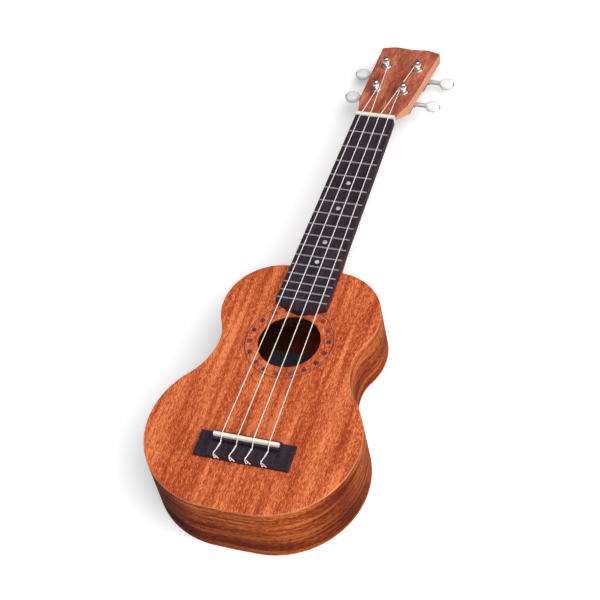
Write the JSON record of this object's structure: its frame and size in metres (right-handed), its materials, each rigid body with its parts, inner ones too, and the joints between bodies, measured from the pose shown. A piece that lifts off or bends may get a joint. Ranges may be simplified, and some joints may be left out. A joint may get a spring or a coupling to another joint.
{
  "type": "ukulele",
  "caption": "Soprano-size ukulele: hollow wooden body, fretted neck, tilted headstock and geared tuners whose buttons turn the string posts.",
  "frame": {"origin": "on the flat outer face of the back, on the centreline at the middle of the body's length", "axes": "+X to the treble side, +Y from the body to the headstock, +Z out of the back through the soundboard"},
  "size_m": [0.1752, 0.5232, 0.0663],
  "materials": {
    "top_wood": "open-pored satin laminate, straight lengthwise grain with ribbon streaks",
    "side_wood": "darker red-brown satin wood, grain along the rib",
    "neck_wood": "satin red-brown wood, grain along the neck",
    "inner_wood": "raw brown hardwood",
    "paper_label": "blank matt paper",
    "rosette_wood": "dark inlaid veneer",
    "dark_wood": "near-black dense wood, satin",
    "fret_wire": "polished nickel silver",
    "pearl_dot": "pearly inlay",
    "cream_bone": "cream moulded bar",
    "nylon_string": "clear to white nylon",
    "tuner_chrome": "polished plating",
    "pearl_button": "pearlescent white",
    "small_steel": "plated screws",
    "gear_brass": "cut brass"
  },
  "bodies": {
    "instrument": {"soundboard": "top_wood", "back": "side_wood", "side_bass": "side_wood", "side_treble": "side_wood", "top_linings": "inner_wood", "back_linings": "inner_wood", "neck_block": "inner_wood", "tail_block": "inner_wood", "upper_brace": "inner_wood", "lower_brace": "inner_wood", "fan_braces": "inner_wood", "bridge_plate": "inner_wood", "back_braces": "inner_wood", "label": "paper_label", "rosette_tiles": "rosette_wood", "rosette_ring": "rosette_wood", "neck": "neck_wood", "neck_dowels": "inner_wood", "fretboard": "dark_wood", "frets": "fret_wire", "position_dots": "pearl_dot", "nut": "cream_bone", "bridge": "dark_wood", "saddle": "cream_bone", "string_g": "nylon_string", "string_c": "nylon_string", "string_e": "nylon_string", "string_a": "nylon_string", "tuner_case_g": "tuner_chrome", "tuner_case_c": "tuner_chrome", "tuner_case_e": "tuner_chrome", "tuner_case_a": "tuner_chrome", "tuner_covers": "tuner_chrome", "bushings": "tuner_chrome", "washers": "tuner_chrome", "case_screws": "small_steel"},
    "tuner_button_g": {"worm_shaft_g": "tuner_chrome", "tuner_button_g": "pearl_button", "button_screw_g": "small_steel"},
    "tuner_post_g": {"string_post_g": "tuner_chrome", "worm_gear_g": "gear_brass", "gear_screw_g": "small_steel"},
    "tuner_button_c": {"worm_shaft_c": "tuner_chrome", "tuner_button_c": "pearl_button", "button_screw_c": "small_steel"},
    "tuner_post_c": {"string_post_c": "tuner_chrome", "worm_gear_c": "gear_brass", "gear_screw_c": "small_steel"},
    "tuner_button_e": {"worm_shaft_e": "tuner_chrome", "tuner_button_e": "pearl_button", "button_screw_e": "small_steel"},
    "tuner_post_e": {"string_post_e": "tuner_chrome", "worm_gear_e": "gear_brass", "gear_screw_e": "small_steel"},
    "tuner_button_a": {"worm_shaft_a": "tuner_chrome", "tuner_button_a": "pearl_button", "button_screw_a": "small_steel"},
    "tuner_post_a": {"string_post_a": "tuner_chrome", "worm_gear_a": "gear_brass", "gear_screw_a": "small_steel"}
  },
  "joints": [
    {"name": "button_turn_g", "type": "hinge", "parent": "instrument", "child": "tuner_button_g", "pos_m": [-0.0307, 0.33654, 0.019], "axis": [1, 0, 0], "continuous": true},
    {"name": "post_turn_g", "type": "hinge", "parent": "instrument", "child": "tuner_post_g", "pos_m": [-0.0127, 0.33505, 0.03529], "axis": [0, 0.2486, 0.9686], "continuous": true},
    {"name": "button_turn_c", "type": "hinge", "parent": "instrument", "child": "tuner_button_c", "pos_m": [-0.0329, 0.37301, 0.00964], "axis": [1, 0, 0], "continuous": true},
    {"name": "post_turn_c", "type": "hinge", "parent": "instrument", "child": "tuner_post_c", "pos_m": [-0.0149, 0.37151, 0.02593], "axis": [0, 0.2486, 0.9686], "continuous": true},
    {"name": "button_turn_e", "type": "hinge", "parent": "instrument", "child": "tuner_button_e", "pos_m": [0.0329, 0.37301, 0.00964], "axis": [1, 0, 0], "continuous": true},
    {"name": "post_turn_e", "type": "hinge", "parent": "instrument", "child": "tuner_post_e", "pos_m": [0.0149, 0.37151, 0.02593], "axis": [0, 0.2486, 0.9686], "continuous": true},
    {"name": "button_turn_a", "type": "hinge", "parent": "instrument", "child": "tuner_button_a", "pos_m": [0.0307, 0.33654, 0.019], "axis": [1, 0, 0], "continuous": true},
    {"name": "post_turn_a", "type": "hinge", "parent": "instrument", "child": "tuner_post_a", "pos_m": [0.0127, 0.33505, 0.03529], "axis": [0, 0.2486, 0.9686], "continuous": true}
  ],
  "couplings": [
    {"joint": "post_turn_g", "follows": "button_turn_g", "ratio": -0.071429},
    {"joint": "post_turn_c", "follows": "button_turn_c", "ratio": -0.071429},
    {"joint": "post_turn_e", "follows": "button_turn_e", "ratio": 0.071429},
    {"joint": "post_turn_a", "follows": "button_turn_a", "ratio": 0.071429}
  ]
}
